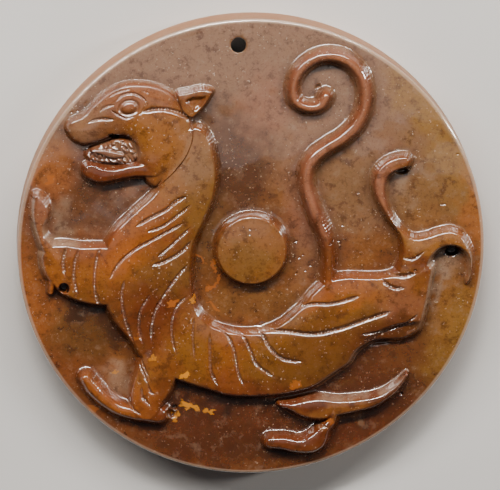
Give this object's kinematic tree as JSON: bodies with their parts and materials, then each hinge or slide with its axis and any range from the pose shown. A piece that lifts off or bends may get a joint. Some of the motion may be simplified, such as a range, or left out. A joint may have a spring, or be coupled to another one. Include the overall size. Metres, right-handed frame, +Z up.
{
  "type": "jade bi disc",
  "caption": "Round carved jade disc, one stone, with a central boss, a striding tiger with a coiled tail in relief, and a small cord hole near the rim.",
  "frame": {"origin": "middle of the plain back, on the surface that the disc lies on", "axes": "+Z up out of the carved face, +Y from the boss toward the cord hole, +X to the right of the carved face"},
  "size_m": [0.06, 0.06, 0.0066],
  "materials": {
    "jade": "polished, slightly translucent brown and amber jade, clouded with olive and red-brown, with fine pits and pale flecks"
  },
  "bodies": {
    "root": {"carved_disc": "jade"}
  },
  "joints": []
}
